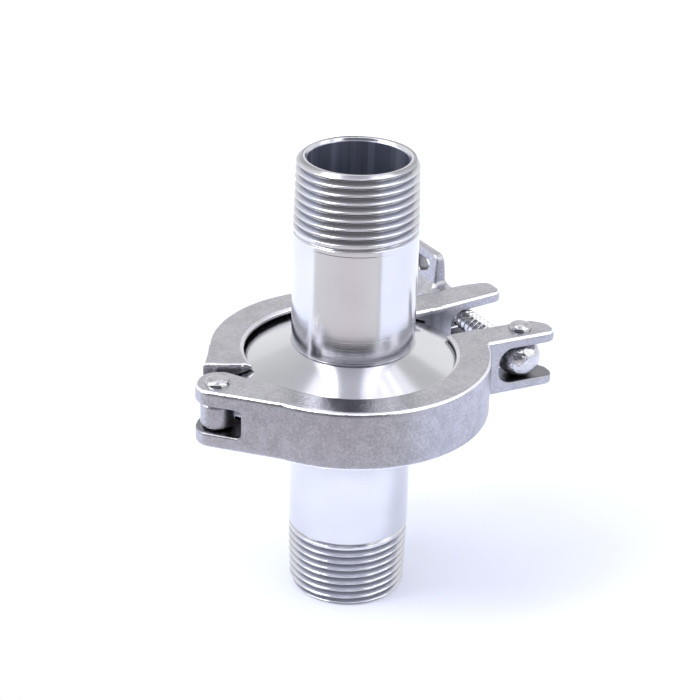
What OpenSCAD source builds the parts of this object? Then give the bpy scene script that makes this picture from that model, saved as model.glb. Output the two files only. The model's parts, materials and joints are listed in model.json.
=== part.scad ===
// Clamp union adapter for 1 inch (DN 25) sanitary pipework.
// Two turned ferrules with tapered male pipe threads meet on a gasket and are
// held by a hinged two-piece clamp with a swing bolt and a wing nut.
// Millimetres. Z is up and Z = 0 is the end face of the lower pipe.
// The pipe axis is X = Y = 0, the hinge is at -X and the bolt at +X.

/* [Ferrules] */
// Outside diameter of the two pipe barrels
pipe_d = 33.7; // [30:0.1:40]
// Bore through both ferrules and the gasket
bore_d = 26.9; // [20:0.1:29]
// Length of one ferrule from gasket face to threaded end
ferrule_len = 63.6; // [50:0.1:90]
// Diameter of the clamping flange
flange_d = 64; // [60:0.5:72]
// Straight height of the flange rim at its outer diameter
rim_h = 4.4; // [3.6:0.1:4.8]
// Slope of the flange back face
cone_angle = 22; // [18:0.5:23]
// Length of the tapered pipe thread
thread_len = 21.5; // [14:0.5:26]
// Pitch of the pipe thread
thread_pitch = 2.309; // [1.8:0.001:2.6]
// Depth of the thread grooves, which are drawn as rings
thread_depth = 1.35; // [0.8:0.05:1.5]
// Distance from the end face at which the thread crests reach the barrel diameter
taper_len = 16; // [10:0.5:21]
// Distance by which the thread crests stay inside the barrel's surface
crest_drop = 0.05; // [0.02:0.01:0.1]
// Chamfer at the free end of the thread
end_chamfer = 1.1; // [0.4:0.1:1.5]
// Bevel at the mouth of the bore
mouth_bevel = 0.6; // [0.2:0.1:1]
// Depth of the small groove where the barrel meets the flange
neck_groove = 0.3; // [0.1:0.05:0.6]
// Chamfer between the gasket face and the flange rim
rim_break = 0.3; // [0.1:0.05:0.5]

/* [Gasket] */
// Thickness of the gasket between the two flange faces
gasket_t = 1.6; // [1.2:0.1:2.2]
// Middle diameter of the ring bead on the gasket and of its groove
bead_d = 55.2; // [50:0.2:57]
// Radius of the bead section
bead_r = 1.5; // [1.2:0.05:1.8]
// Room round the bead in its groove
bead_room = 0.1; // [0.05:0.05:0.2]
// Outside diameter of the gasket
gasket_d = 62.4; // [60.5:0.2:63]

/* [Clamp] */
// Height of the clamp castings
clamp_h = 16.9; // [15.4:0.1:20]
// Thickness of the ring wall outside the flange groove
wall_t = 5.35; // [4.5:0.05:7]
// Radial room between the flange rim and the groove root
groove_room = 0.75; // [0.5:0.05:1.2]
// Axial room between the flange cones and the groove faces when closed
flank_room = 0.15; // [0.1:0.05:0.3]
// Inside diameter of the two lips
lip_d = 56.8; // [56:0.1:60]
// Width of the bevel round the inside edge of each lip
lip_bevel = 1.3; // [0.6:0.1:1.6]
// Depth of that bevel
bevel_h = 0.7; // [0.3:0.05:0.8]
// Chamfer round the outside edges of the ring
edge = 0.9; // [0.3:0.05:1.1]
// Angle by which the rear half stands open about the hinge pin
open_angle = 3.5; // [0:0.1:4]

/* [Hinge and pivot] */
// Distance of both pins in front of the pipe axis
pin_y = 5.2; // [5:0.1:6]
// Distance of the hinge pin outside the ring
hinge_out = 3.4; // [3:0.1:4.5]
// Distance of the pivot pin outside the ring
pivot_out = 11.2; // [10.5:0.1:13]
// Diameter of both riveted pins
pin_d = 4; // [3.2:0.1:4.4]
// Diameter of the domed pin heads
head_d = 6.8; // [6:0.1:7.6]
// Height of the domed pin heads
head_h = 2; // [1:0.1:2.4]
// Radial play of the hinge knuckle and of the bolt eye on their pins
pin_play = 0.06; // [0.04:0.01:0.1]
// Outside radius of the two hinge ears
hinge_r = 5.9; // [5:0.1:6.2]
// Height of the hinge slot in the front half
hinge_slot = 8; // [7:0.1:9]
// Radius of the hinge slot round its pin
hinge_slot_r = 10.2; // [9:0.1:10.6]
// Radius of the knuckle of the rear half
knuckle_r = 4.6; // [4.2:0.1:4.8]
// Play above and below the knuckle and the bolt eye
side_play = 0.4; // [0.3:0.05:0.5]

/* [Bolt ears] */
// Length of the bolt ears beyond the ring
ear_len = 20.5; // [19:0.1:22]
// Width of the front ear
ear_w = 9.8; // [9.4:0.1:10.4]
// Height of the open slots for the bolt
bolt_slot = 10.4; // [10:0.1:10.8]
// Corner radius at the closed end of these slots
slot_corner = 4.2; // [3:0.1:4.6]
// Corner radius at the ear tips
tip_r = 3.2; // [1.5:0.1:3.6]
// Cut across the back corner of the front ear's tip
tip_cut = 2; // [0.5:0.1:3]
// Distance from the pivot pin to the nut seat on the rear ear
seat_r = 33; // [32.8:0.1:33.6]
// Width of the rear ear at its root, seat crown included
rear_ear_w = 11.6; // [11:0.1:12]
// Height of the seat's crown above the back of the rear ring's end
seat_crown = 0.9; // [0.5:0.1:1.2]
// Distance by which the front face of the rear ear falls back at its tip
ear_taper = 1.9; // [0:0.1:2.5]
// Distance from the ring to the closed end of the bolt slots
slot_land = 2.4; // [2:0.1:3]

/* [Swing bolt and wing nut] */
// Lean of the bolt towards the pipe
bolt_lean = 5.5; // [4.5:0.1:6.5]
// Outside diameter of the bolt thread
bolt_d = 6.3; // [5.6:0.1:6.6]
// Diameter of the plain neck between eye and thread
neck_d = 5.6; // [5:0.1:5.8]
// Distance from the pivot pin at which the thread begins
thread_start = 9; // [8:0.5:12]
// Length of the chamfer at the bolt's tip
bolt_tip = 1; // [0.5:0.1:1.5]
// Diameter of the bolt eye
eye_d = 12.4; // [11:0.1:12.6]
// Length of the bolt from pivot pin to tip
bolt_len = 60; // [56:0.5:66]
// Radial play of the nut on the thread
nut_play = 0.08; // [0.04:0.01:0.1]
// Gap between the wing nut and its seat
nut_gap = 0.05; // [0.02:0.01:0.2]
// Diameter of the nut at its seat face
nut_nose_d = 11.4; // [10.6:0.1:12]
// Length of the nut body
nut_len = 21; // [19:0.5:23]
// Length of the straight collar behind the seat face
nut_collar = 2.5; // [1.5:0.1:4]
// Amount by which the nut body tapers to its rear end
nut_taper = 0.7; // [0.3:0.1:1.2]
// Distance from the seat face to the front edge of the wings
wing_front = 8.3; // [7:0.1:10]
// Distance from the seat face to the rear edge of the wings
wing_back = 27.2; // [25:0.1:30]
// Corner radius of the wings
wing_corner = 2.6; // [1.5:0.1:3.5]
// Width of the wing's outer rim beside its hole
wing_rim = 3; // [2:0.1:4]
// Length of the straight side of the hole
hole_len = 8.3; // [6:0.1:9]
// Corner radius of the hole
hole_corner = 1.1; // [0.8:0.1:1.6]
// Radius of the wing tips from the bolt axis
wing_reach = 14.6; // [14:0.1:17]
// Thickness of the wings
wing_t = 2.4; // [2:0.1:4]

/* [Output] */
// Name of the piece to draw, or all

/* [Hidden] */
$fn = 96;
clamp_z = ferrule_len + gasket_t / 2;
slope = tan(cone_angle);
barrel_r = pipe_d / 2;
flange_r = flange_d / 2;
crest_top_r = barrel_r - crest_drop;
thread_end_r = crest_top_r - taper_len / 32;
// radius of the thread crests, before the barrel cuts them, at distance e from the threaded end
function crest_r(e) = crest_top_r + (e - taper_len) / 32;
groove_half = 0.39 * thread_pitch;
grooves = floor(thread_len / thread_pitch - 0.5);
// height of the flange cone above the gasket face, at radius r
function cone_h(r) = rim_h + (flange_r - r) * slope;
// half height of the clamp groove, at radius r
function groove_h(r) = gasket_t / 2 + cone_h(r) + flank_room;
groove_r = max(flange_r, gasket_d / 2) + groove_room;
ring_r = groove_r + wall_t;
lip_r = lip_d / 2;
half_h = clamp_h / 2;
hinge = [-(ring_r + hinge_out), -pin_y];
pivot = [ring_r + pivot_out, -pin_y];
ear_x = ring_r + ear_len;
ear_root = ring_r - 0.65 * wall_t;
far = 2 * ear_x;
slot_r = bolt_slot / 2;
slot_x = ring_r + slot_land + slot_corner;
ear_front = -pin_y - 0.56 * ear_w;
ear_back = ear_front + ear_w;
// the pivot pin as seen from the rear half before it is turned open
function turned(p, a) = [p[0] * cos(a) - p[1] * sin(a), p[0] * sin(a) + p[1] * cos(a)];
pivot_closed = hinge + turned(pivot - hinge, -open_angle);
rear_front = pivot_closed[1] + seat_r - rear_ear_w;
rear_back = pivot_closed[1] + seat_r - seat_crown;
eye_h = bolt_slot - 2 * side_play;
knuckle_h = hinge_slot - 2 * side_play;
bolt_r = bolt_d / 2;

// Convex outline with corner radius r round the points p, given anticlockwise.
function out(a, b, r) = r * [b[1] - a[1], a[0] - b[0]] / norm(b - a);
module rounded(p, r) {
  n = len(p);
  polygon([for (i = [0 : n - 1]) for (k = [0, 1])
    p[(i + k) % n] + out(p[i], p[(i + 1) % n], r)]);
  for (q = p) translate(q) circle(r = r);
}

// Section of one thread groove at distance e from the threaded end.
module thread_groove(e) {
  root_r = crest_r(e) - thread_depth;
  open_r = root_r + 2 * thread_depth;
  polygon([[root_r, ferrule_len - e], [open_r, ferrule_len - e - 2 * groove_half],
    [open_r, ferrule_len - e + 2 * groove_half]]);
}

// Turned section of one ferrule, gasket face at height 0.
module ferrule() {
  base_h = cone_h(barrel_r);
  difference() {
    rotate_extrude($fn = 180)
      difference() {
        polygon([
          [bore_d / 2, 0], [flange_r - rim_break, 0], [flange_r, rim_break], [flange_r, rim_h],
          [barrel_r, base_h], [barrel_r - neck_groove, base_h + 0.5 * neck_groove],
          [barrel_r - neck_groove, base_h + 2.2 * neck_groove],
          [barrel_r, base_h + 2.7 * neck_groove], [barrel_r, ferrule_len - thread_len],
          [crest_top_r, ferrule_len - thread_len], [crest_top_r, ferrule_len - taper_len],
          [thread_end_r + end_chamfer / 32, ferrule_len - end_chamfer],
          [thread_end_r - end_chamfer, ferrule_len],
          [bore_d / 2 + mouth_bevel, ferrule_len],
          [bore_d / 2, ferrule_len - mouth_bevel]]);
        for (k = [1 : grooves]) thread_groove(thread_pitch * (k + 0.43));
      }
    rotate_extrude($fn = 120)
      translate([bead_d / 2, -gasket_t / 2]) circle(r = bead_r + bead_room, $fn = 48);
  }
}

module upper_ferrule() {
  color([0.80, 0.81, 0.83])
    translate([0, 0, clamp_z + gasket_t / 2]) ferrule();
}

module lower_ferrule() {
  color([0.78, 0.79, 0.81])
    translate([0, 0, clamp_z - gasket_t / 2]) mirror([0, 0, 1]) ferrule();
}

// Flat ring with a bead on both faces that centres the two ferrules.
module gasket() {
  color([0.93, 0.93, 0.90])
    translate([0, 0, clamp_z]) {
      difference() {
        cylinder(d = gasket_d, h = gasket_t, center = true, $fn = 120);
        cylinder(d = bore_d, h = gasket_t + 2, center = true, $fn = 120);
      }
      rotate_extrude($fn = 120) translate([bead_d / 2, 0]) circle(r = bead_r, $fn = 48);
    }
}

// Space inside the clamp: the bore between the lips and the groove for the flanges.
module clamp_space() {
  top = half_h + 1;
  rotate_extrude($fn = 180)
    polygon([
      [0, -top], [lip_r + lip_bevel, -top], [lip_r + lip_bevel, -half_h],
      [lip_r, bevel_h - half_h], [lip_r, -groove_h(lip_r)], [groove_r, -groove_h(groove_r)],
      [groove_r, groove_h(groove_r)], [lip_r, groove_h(lip_r)], [lip_r, half_h - bevel_h],
      [lip_r + lip_bevel, half_h], [lip_r + lip_bevel, top], [0, top]]);
}

// Solid disc that both ring halves are cut from, with chamfered outside edges.
module ring_disc() {
  rotate_extrude($fn = 180)
    polygon([
      [lip_r * 0.7, -half_h], [ring_r - edge, -half_h], [ring_r, edge - half_h],
      [ring_r, half_h - edge], [ring_r - edge, half_h], [lip_r * 0.7, half_h]]);
}

// Slot across a bolt ear: round at the ring end and open at the tip.
module bolt_slot_cut(y0, y1) {
  translate([0, y1, 0]) rotate([90, 0, 0])
    linear_extrude(height = y1 - y0) {
      rounded([[slot_x, slot_corner - slot_r], [far, slot_corner - slot_r],
        [far, slot_r - slot_corner], [slot_x, slot_r - slot_corner]], slot_corner);
    }
}

// Front half: ring half, two hinge ears on the left, two bolt ears on the right.
module front_half() {
  tangent_a = 217;
  corner = ring_r * [cos(tangent_a), sin(tangent_a)];
  gap = corner - hinge;
  turn = atan2(gap[1], gap[0]) - acos(hinge_r / norm(gap));
  lobe = hinge + (hinge_r - 0.05) * [cos(turn), sin(turn)];
  color([0.70, 0.70, 0.72])
    translate([0, 0, clamp_z])
      difference() {
        union() {
          intersection() {
            ring_disc();
            linear_extrude(height = clamp_h + 2, center = true)
              polygon([ring_r * [-1.575, 0.748], ring_r * [-0.777, -0.249], ring_r * [-0.577, -0.357],
                [0.525 * ring_r, ear_back], [far, ear_back], [far, -far], [-far, -far]]);
          }
          linear_extrude(height = clamp_h, center = true) {
            translate(hinge) circle(r = hinge_r);
            translate(hinge + hinge_r * [0.1, 0.16]) circle(r = hinge_r);
            polygon([lobe, corner, corner * 0.86, hinge + hinge_r * [2.5, -1.45],
              hinge + hinge_r * [0.85, 0.78], hinge]);
            rounded([[ear_root + tip_r, ear_front + tip_r], [ear_x - tip_r, ear_front + tip_r],
              [ear_x - tip_r, ear_back - tip_r - tip_cut], [ear_x - tip_r - tip_cut, ear_back - tip_r],
              [ear_root + tip_r, ear_back - tip_r]], tip_r);
          }
        }
        clamp_space();
        translate([hinge[0], hinge[1], 0]) {
          cylinder(r = hinge_slot_r, h = hinge_slot, center = true);
          cylinder(d = pin_d, h = clamp_h + 4, center = true);
        }
        translate([pivot[0], pivot[1], 0])
          cylinder(d = pin_d, h = clamp_h + 4, center = true);
        bolt_slot_cut(ear_front - 5, ear_back + 5);
      }
}

// Rear half: ring half, knuckle and neck on the left, slotted bolt ear on the right.
module rear_half() {
  shoulder = ring_r * [cos(154), sin(154)];
  heel = hinge + hinge_r * [0.18, 2];
  color([0.72, 0.72, 0.74])
    translate([hinge[0], hinge[1], clamp_z]) rotate([0, 0, open_angle])
      translate([-hinge[0], -hinge[1], 0])
        difference() {
          union() {
            intersection() {
              ring_disc();
              linear_extrude(height = clamp_h + 2, center = true)
                polygon([ring_r * [-1.575, 0.386], ring_r * [-0.656, -0.016], [0.525 * ring_r, rear_front],
                  [far, rear_front], [far, far], [-far, far]]);
            }
            linear_extrude(height = clamp_h, center = true) {
              polygon([shoulder, heel, ring_r * [-0.814, 0.053], ring_r * [-0.814, 0.42]]);
              intersection() {
                rounded([[ear_root, rear_front + tip_r], [ear_x - tip_r, rear_front + tip_r + ear_taper],
                  [ear_x - tip_r, rear_back - 0.97 * tip_r], [ear_root, rear_back]], tip_r);
                union() {
                  translate(pivot_closed) circle(r = seat_r, $fn = 360);
                  translate([ring_r / 2, 0]) square([0.59 * ring_r, rear_back]);
                }
              }
            }
            linear_extrude(height = knuckle_h, center = true) {
              translate(hinge) circle(r = knuckle_r);
              polygon([hinge + knuckle_r * [cos(170), sin(170)], hinge + knuckle_r * [cos(340), sin(340)],
                hinge + knuckle_r * [1.85, 2.04], hinge + knuckle_r * [1.2, 3.3],
                hinge + knuckle_r * [0.5, 2.76]]);
            }
          }
          clamp_space();
          translate([hinge[0], hinge[1], 0])
            cylinder(d = pin_d + 2 * pin_play, h = clamp_h, center = true);
          bolt_slot_cut(0, rear_back + 5);
        }
}

// Pin closed with a domed rivet head at both ends, turned from one outline.
module riveted_pin(p) {
  dome = [for (q = [[1, 0], [1, 0.3], [0.87, 0.64], [0.62, 0.88], [0.3, 1], [0, 1]])
    [q[0] * head_d / 2, half_h + q[1] * head_h]];
  half = concat([[pin_d / 2, half_h]], dome);
  last = len(half) - 1;
  color([0.86, 0.86, 0.88])
    translate([p[0], p[1], clamp_z])
      rotate_extrude()
        polygon(concat([for (i = [last : -1 : 0]) [half[i][0], -half[i][1]]], half));
}

module hinge_pin() { riveted_pin(hinge); }

module bolt_pin() { riveted_pin(pivot); }

// Swing bolt: rounded eye on the pivot pin and a threaded shank along +Y.
module swing_bolt() {
  color([0.82, 0.82, 0.84])
    translate([pivot[0], pivot[1], clamp_z]) rotate([0, 0, bolt_lean])
      difference() {
        union() {
          intersection() {
            cylinder(d = eye_d, h = eye_h, center = true);
            sphere(r = eye_d * 0.54);
          }
          rotate([-90, 0, 0]) {
            cylinder(d = neck_d, h = bolt_len - bolt_tip);
            translate([0, 0, thread_start]) cylinder(r = bolt_r, h = bolt_len - bolt_tip - thread_start);
            translate([0, 0, bolt_len - bolt_tip])
              cylinder(r1 = bolt_r, r2 = bolt_r - 0.8 * bolt_tip, h = bolt_tip);
          }
        }
        cylinder(d = pin_d + 2 * pin_play, h = 2 * eye_h, center = true);
      }
}

// Wing nut: tapered body on the bolt axis with two looped wings.
module wing_nut() {
  body_r = nut_nose_d / 2;
  hole_x = wing_reach - wing_rim - hole_corner;
  hole_y = wing_front + wing_rim + 2 * hole_corner;
  color([0.74, 0.74, 0.76])
    translate([pivot[0], pivot[1], clamp_z]) rotate([0, 0, bolt_lean])
      rotate([-90, 0, 0]) translate([0, 0, seat_r + nut_gap])
        difference() {
          union() {
            rotate_extrude()
              polygon([
                [0, 0], [body_r - nut_taper, 0], [body_r, nut_taper], [body_r, nut_collar],
                [body_r - nut_taper, nut_len - nut_taper], [body_r - 2 * nut_taper, nut_len], [0, nut_len]]);
            for (s = [90, 270]) rotate([0, 0, s]) rotate([90, 0, 0])
              linear_extrude(height = wing_t, center = true)
                difference() {
                  rounded([[wing_corner, wing_front + wing_corner],
                    [wing_reach - wing_corner, wing_front + wing_corner],
                    [wing_reach - wing_corner, wing_back - wing_corner],
                    [wing_corner, nut_len - wing_corner]], wing_corner);
                  rounded([[hole_x - 0.19 * hole_len, hole_y + 0.11 * hole_len], [hole_x, hole_y],
                    [hole_x, hole_y + hole_len], [hole_x - 0.42 * hole_len, hole_y + 0.66 * hole_len]],
                    hole_corner);
                }
          }
          translate([0, 0, -bolt_r]) cylinder(r = bolt_r + nut_play, h = wing_back + 2 * bolt_r);
        }
}

upper_ferrule();
lower_ferrule();
gasket();
front_half();
rear_half();
hinge_pin();
bolt_pin();
swing_bolt();
wing_nut();
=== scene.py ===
"""Looks of a clamp union for sanitary pipework, built round its packed exact model.

Two turned ferrules with tapered pipe threads, a hinged clamp cast in two halves, two riveted
pins, a swing bolt and a wing nut. Sizes are in millimetres in the shape functions and are
turned into metres when a mesh is made. Z is up, the pipe axis is X = Y = 0.
"""

import json
import math

import bpy
import numpy as np
from bpy.props import FloatProperty, FloatVectorProperty, PointerProperty
from mathutils import Matrix, Vector


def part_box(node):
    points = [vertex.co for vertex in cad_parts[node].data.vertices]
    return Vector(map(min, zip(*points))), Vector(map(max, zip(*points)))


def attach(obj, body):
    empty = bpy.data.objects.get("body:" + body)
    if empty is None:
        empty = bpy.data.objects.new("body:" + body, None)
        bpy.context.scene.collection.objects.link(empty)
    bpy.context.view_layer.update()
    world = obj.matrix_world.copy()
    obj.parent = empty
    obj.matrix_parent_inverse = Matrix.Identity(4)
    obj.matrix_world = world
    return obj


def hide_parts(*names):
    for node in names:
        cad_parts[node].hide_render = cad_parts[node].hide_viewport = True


bl_info = {
    "name": "Clamp union looks",
    "version": (1, 0, 0),
    "blender": (4, 5, 0),
    "location": "3D View > Sidebar > Clamp union",
    "description": "Builds the visible surfaces and finishes of a hinged clamp union",
    "category": "Object",
}

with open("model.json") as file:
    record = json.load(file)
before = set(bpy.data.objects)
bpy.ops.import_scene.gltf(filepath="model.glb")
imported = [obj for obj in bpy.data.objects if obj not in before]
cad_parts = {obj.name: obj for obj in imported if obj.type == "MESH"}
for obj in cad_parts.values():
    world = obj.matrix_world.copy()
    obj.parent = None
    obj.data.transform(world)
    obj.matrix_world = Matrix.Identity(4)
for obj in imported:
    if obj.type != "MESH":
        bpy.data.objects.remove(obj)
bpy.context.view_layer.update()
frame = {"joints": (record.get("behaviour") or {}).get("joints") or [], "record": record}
MM = 0.001


# Sizes read from the frame, in millimetres

def box_mm(node):
    """Lowest and highest corner of a node of the exact model, in millimetres."""
    lo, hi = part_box(node)
    return np.array(lo) / MM, np.array(hi) / MM


def mount_radius(name):
    """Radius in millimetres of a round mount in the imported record."""
    return next(m["dims"]["r_mm"] for m in frame["record"]["mounts"] if m["name"] == name)


def joint(name):
    """The record's entry for one joint."""
    return next(j for j in frame["joints"] if j["name"] == name)


BARREL_R = mount_radius("upper_barrel")
BORE_R = mount_radius("through_bore")
TOTAL_H = box_mm("upper_ferrule")[1][2]
GASKET_FACE = box_mm("upper_ferrule")[0][2]
FERRULE_LEN = TOTAL_H - GASKET_FACE
FLANGE_R = box_mm("upper_ferrule")[1][0]
CLAMP_LO, CLAMP_HI = box_mm("front_half")
CLAMP_Z = (CLAMP_LO[2] + CLAMP_HI[2]) / 2
HALF_H = (CLAMP_HI[2] - CLAMP_LO[2]) / 2
RING_R = -CLAMP_LO[1]
EAR_X = CLAMP_HI[0]
HINGE = np.mean(box_mm("hinge_pin"), axis=0)[:2]
PIVOT = np.mean(box_mm("bolt_pin"), axis=0)[:2]
BOLT_AXIS = np.array(joint("wing_nut_travel")["axis"][:2])
FIXED_BODY = "fixed_clamp_half_and_ferrules"

# Sizes that the halves, the pins, the bolt and the nut share, in millimetres
PIN_R = 2.0
PIN_PLAY = 0.06
HINGE_R = 5.9
KNUCKLE_R = 4.6
EAR_TIP_R = 3.2
EAR_ROOT = RING_R - 3.5
SEAT_R = 33.0
NUT_GAP = 0.05
# Painted shade in the groove and on parting faces starts this far in from the top and bottom faces
SHADE_INSET = 1.4
TAPER_RATIO = 32
CREST_DROP = 0.05
FAR = 99.0


# Properties

def length(label, about, default_mm, low_mm, high_mm):
    """A length property in metres whose default is given in millimetres."""
    return FloatProperty(name=label, description=about, default=default_mm * MM, min=low_mm * MM,
                         max=high_mm * MM, subtype="DISTANCE", unit="LENGTH", precision=5)


def share(label, about, default):
    """A property between 0 and 1."""
    return FloatProperty(name=label, description=about, default=default, min=0.0, max=1.0,
                         subtype="FACTOR")


def angle(label, about, degrees):
    """An angle property whose default is given in degrees."""
    return FloatProperty(name=label, description=about, default=math.radians(degrees),
                         subtype="ANGLE", unit="ROTATION")


def colour(label, about, rgb):
    """A colour property."""
    return FloatVectorProperty(name=label, description=about, default=rgb, min=0.0, max=1.0,
                               size=3, subtype="COLOR")


class UnionFerruleSettings(bpy.types.PropertyGroup):
    """Sizes and finish of the two ferrules."""
    rim_h: length("Rim height", "Straight height of the flange rim", 4.4, 3, 6)
    cone: angle("Cone angle", "Slope of the flange back face", 22)
    neck: length("Neck groove", "Depth of the groove where barrel and flange meet", 0.3, 0.05, 1)
    pitch: length("Thread pitch", "Axial distance between two pipe thread crests", 2.309, 1, 4)
    thread_len: length("Thread length", "Length of the tapered pipe thread", 21.5, 10, 30)
    taper_len: length("Taper length", "Length over which the thread crests taper", 16, 8, 22)
    chamfer: length("End chamfer", "Chamfer at the free end of the thread", 1.1, 0.2, 2)
    bevel: length("Mouth bevel", "Width of the bevel at the mouth of the bore", 0.5, 0.1, 1.5)
    bevel_h: length("Mouth bevel depth", "Depth of that bevel", 0.85, 0.1, 2)
    steel: colour("Polished steel", "Colour of the turned and polished steel",
                  (0.71, 0.715, 0.745))
    gloss: share("Roughness", "Roughness of the polished barrel", 0.15)


class UnionClampSettings(bpy.types.PropertyGroup):
    """Sizes and finish of the two cast clamp halves."""
    wall: length("Ring wall", "Wall between flange groove and outside", 5.35, 3, 8)
    lip_r: length("Lip radius", "Inside radius of the two lips", 28.4, 25, 31)
    lip_bevel: length("Lip bevel", "Width of the polished bevel round each lip", 1.3, 0.3, 2)
    bevel_h: length("Bevel depth", "Depth of that bevel", 0.7, 0.1, 1)
    flank_room: length("Flank clearance", "Clearance between flange and groove", 0.15, 0.05, 0.5)
    edge_r: length("Edge radius", "Radius of the casting's outer edges", 1.15, 0.2, 1.5)
    open_angle: angle("Open angle", "Angle by which the rear half stands open", 3.5)
    steel: colour("Cast steel", "Colour of the satin casting", (0.50, 0.50, 0.54))
    rough: share("Roughness", "Roughness of the casting's sides", 0.36)
    flat_rough: share("Ground faces", "Roughness of the ground top and bottom faces", 0.22)


class UnionBoltSettings(bpy.types.PropertyGroup):
    """Sizes and finish of the pins, the swing bolt and the wing nut."""
    eye_r: length("Eye radius", "Outside radius of the bolt's eye", 6.2, 4, 8)
    bolt_r: length("Bolt radius", "Crest radius of the bolt thread", 3.15, 2, 5)
    bolt_pitch: length("Bolt pitch", "Distance between two crests of the bolt thread", 2.0, 0.5, 3)
    bolt_len: length("Bolt length", "From the middle of the eye to the bolt's tip", 60, 40, 70)
    wing_reach: length("Wing reach", "Radius of the wing tips", 14.6, 10, 20)
    wing_t: length("Wing thickness", "Thickness of the wings", 2.6, 1, 4)
    steel: colour("Bright steel", "Colour of rivets and bolt", (0.84, 0.84, 0.87))


class UnionStageSettings(bpy.types.PropertyGroup):
    """Camera and floor."""
    azimuth: angle("Azimuth", "Direction from which the camera looks", -25.5)
    elevation: angle("Elevation", "Height of the camera above the horizon", 26.08)
    roll: angle("Roll", "Turn of the camera about its line of sight", 1.7)
    distance: length("Distance", "Distance from the camera to its aim point", 525.1, 200, 2000)
    aim_up: length("Aim height", "Height of the aim point above the clamp's middle", 7.68, -50, 50)
    floor: colour("Floor", "Colour of the floor", (0.68, 0.715, 0.835))


SETTINGS = {
    "union_ferrules": UnionFerruleSettings,
    "union_clamp": UnionClampSettings,
    "union_bolt": UnionBoltSettings,
    "union_stage": UnionStageSettings,
}


# Meshes

def make_object(name, verts, faces, normals, recess=None):
    """A closed mesh object from millimetre vertices, quads and per-vertex outward normals.

    A quad whose last two corners are the same is a triangle. recess, between 0 and 1 for each
    vertex, marks the hollows, slots and parting faces that get painted shade.

    The signed volume, the sum over faces of corner . (edge x edge) / 6, tells which way the
    faces look, and they are turned round if it is negative.
    """
    faces = np.asarray(faces)
    a, b, c, d = (verts[faces[:, k]] for k in range(4))
    if (np.cross(b - a, c - a) * a).sum() + (np.cross(c - a, d - a) * a).sum() < 0:
        faces = faces[:, ::-1]
    mesh = bpy.data.meshes.new(name)
    quad = faces[:, 2] != faces[:, 3]
    mesh.from_pydata(verts * MM, [], faces[quad].tolist() + faces[~quad][:, :3].tolist())
    mesh.shade_smooth()
    custom = mesh.attributes.new("custom_normal", "FLOAT_VECTOR", "POINT")
    custom.data.foreach_set("vector", normals.astype(np.float32).ravel())
    if recess is not None:
        mesh.attributes.new("recess", "FLOAT", "POINT").data.foreach_set(
            "value", recess.astype(np.float32))
    obj = bpy.data.objects.new(name, mesh)
    bpy.context.scene.collection.objects.link(obj)
    return obj


def torus_faces(rows, cols):
    """Quads of a grid of rows x cols vertices that closes on itself both ways."""
    i, j = np.meshgrid(np.arange(rows), np.arange(cols), indexing="ij")
    i2, j2 = (i + 1) % rows, (j + 1) % cols
    return np.stack([i * cols + j, i * cols + j2, i2 * cols + j2, i2 * cols + j], -1).reshape(-1, 4)


def rounded_loop(points, radii, steps):
    """A closed outline in (r, z) with each corner rounded by an arc.

    At a corner with unit edges e1 and e2 the arc of radius q starts q * tan(turn / 2) before it
    and turns evenly from one edge's direction to the other's. Returns points and normals; the
    normal is the direction of travel turned clockwise.
    """
    points, radii = np.array(points, float), np.array(radii, float)
    before = points - np.roll(points, 1, 0)
    after = np.roll(before, -1, 0)
    e1 = before / np.linalg.norm(before, axis=1)[:, None]
    e2 = after / np.linalg.norm(after, axis=1)[:, None]
    turn = np.arctan2(e1[:, 0] * e2[:, 1] - e1[:, 1] * e2[:, 0], (e1 * e2).sum(1))
    reach = radii * np.abs(np.tan(turn / 2))
    start = points - e1 * reach[:, None]
    left = np.stack([-e1[:, 1], e1[:, 0]], 1) * np.sign(turn)[:, None]
    centre = start + left * radii[:, None]
    t = np.linspace(0, 1, steps)[None, :] * turn[:, None]
    cos, sin = np.cos(t), np.sin(t)
    arm = -left[:, None, :] * radii[:, None, None]
    arc = np.stack([arm[..., 0] * cos - arm[..., 1] * sin,
                    arm[..., 0] * sin + arm[..., 1] * cos], -1)
    way = np.stack([e1[:, None, 0] * cos - e1[:, None, 1] * sin,
                    e1[:, None, 0] * sin + e1[:, None, 1] * cos], -1)
    normal = np.stack([way[..., 1], -way[..., 0]], -1)
    return (centre[:, None, :] + arc).reshape(-1, 2), normal.reshape(-1, 2)


def thread_depth(phase, pitch):
    """Depth below the crest of a rounded 55 degree thread, phase 0 being the crest.

    Straight flanks of slope tan(62.5 deg) join arcs of radius 0.137 pitch at crest and root.
    """
    away = np.abs(phase - np.round(phase)) * pitch
    flank_angle = math.radians(90 - 55 / 2)
    arc, slope = 0.137 * pitch, math.tan(flank_angle)
    reach = arc * math.sin(flank_angle)
    lead = arc * (1 - math.cos(flank_angle))
    full = 2 * lead + slope * (pitch / 2 - 2 * reach)
    crest = arc - np.sqrt(np.maximum(arc ** 2 - away ** 2, 0))
    root = full - arc + np.sqrt(np.maximum(arc ** 2 - (pitch / 2 - away) ** 2, 0))
    flank = lead + slope * (away - reach)
    return np.where(away < reach, crest, np.where(away > pitch / 2 - reach, root, flank)), full


def turns(cols):
    """Equal steps of one turn, as a row of angles."""
    return np.linspace(0, 2 * np.pi, cols, endpoint=False)[None, :]


def lathe(angle, r, z, n_out, n_round, n_up):
    """Points (r cos, r sin, z) of a surface about z, and their normals made one long.

    The normals come as parts pointing away from the axis, round it and along it.
    """
    cos, sin = np.cos(angle), np.sin(angle)
    verts = np.stack(np.broadcast_arrays(r * cos, r * sin, z), -1).reshape(-1, 3)
    normals = np.stack(np.broadcast_arrays(n_out * cos - n_round * sin,
                                           n_out * sin + n_round * cos, n_up), -1).reshape(-1, 3)
    return verts, normals / np.linalg.norm(normals, axis=1)[:, None]


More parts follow.
